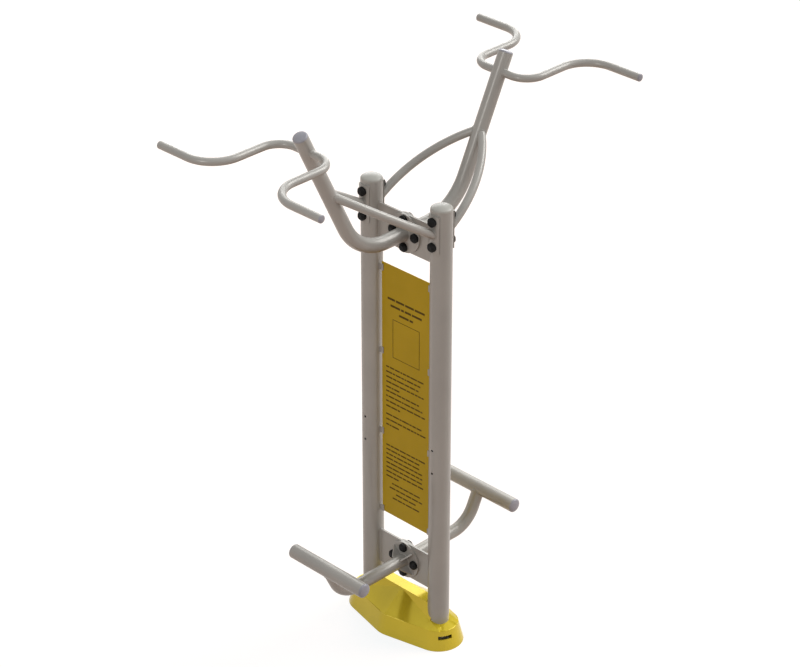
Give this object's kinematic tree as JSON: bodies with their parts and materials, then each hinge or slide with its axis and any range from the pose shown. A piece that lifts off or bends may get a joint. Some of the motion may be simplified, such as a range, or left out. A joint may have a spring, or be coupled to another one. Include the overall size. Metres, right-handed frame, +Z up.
{
  "type": "outdoor pull-up bar",
  "caption": "Outdoor pull-up bar: posts with a panel between them, bent arms with cranked grip bars, curved struts, low foot rests and a moulded base cover.",
  "frame": {"origin": "on the ground, midway between the two posts", "axes": "+Z up, +X from the left post to the right post as seen from the front, -Y to the front"},
  "size_m": [0.8716, 1.7462, 2.4346],
  "materials": {
    "grey_paint": "gloss",
    "post_cap_paint": "gloss",
    "plug_plastic": "satin",
    "black_plastic": "satin",
    "yellow_plastic": "gloss",
    "sign_sheet": "satin",
    "zinc_steel": "satin"
  },
  "bodies": {
    "root": {"arm_flange_bolts": "zinc_steel", "arm_flange_covers": "black_plastic", "arm_flange_nuts": "zinc_steel", "arm_flange_washers": "zinc_steel", "base_cover": "yellow_plastic", "foot_flange_bolts": "zinc_steel", "foot_flange_covers": "black_plastic", "foot_flange_nuts": "zinc_steel", "foot_flange_washers": "zinc_steel", "front_arm_end_cap": "plug_plastic", "front_arm_flange": "grey_paint", "front_arm_tube": "grey_paint", "front_foot_arm": "grey_paint", "front_foot_bar": "grey_paint", "front_foot_bar_caps": "plug_plastic", "front_foot_flange": "grey_paint", "front_foot_gussets": "grey_paint", "front_grip_bar": "grey_paint", "front_grip_bar_caps": "plug_plastic", "front_left_saddle": "grey_paint", "front_left_strut": "grey_paint", "front_right_saddle": "grey_paint", "front_right_strut": "grey_paint", "left_foot_plate": "grey_paint", "left_foot_ribs": "grey_paint", "left_post": "grey_paint", "left_post_cap": "post_cap_paint", "left_sign_tabs": "grey_paint", "lower_cross_plate": "grey_paint", "rear_arm_end_cap": "plug_plastic", "rear_arm_flange": "grey_paint", "rear_arm_tube": "grey_paint", "rear_foot_arm": "grey_paint", "rear_foot_bar": "grey_paint", "rear_foot_bar_caps": "plug_plastic", "rear_foot_flange": "grey_paint", "rear_foot_gussets": "grey_paint", "rear_grip_bar": "grey_paint", "rear_grip_bar_caps": "plug_plastic", "rear_left_saddle": "grey_paint", "rear_left_strut": "grey_paint", "rear_right_saddle": "grey_paint", "rear_right_strut": "grey_paint", "right_foot_plate": "grey_paint", "right_foot_ribs": "grey_paint", "right_post": "grey_paint", "right_post_cap": "post_cap_paint", "right_sign_tabs": "grey_paint", "saddle_bolts": "zinc_steel", "saddle_covers": "black_plastic", "saddle_nuts": "zinc_steel", "saddle_washers": "zinc_steel", "sign_panel": "sign_sheet", "upper_cross_plate": "grey_paint"}
  },
  "joints": []
}
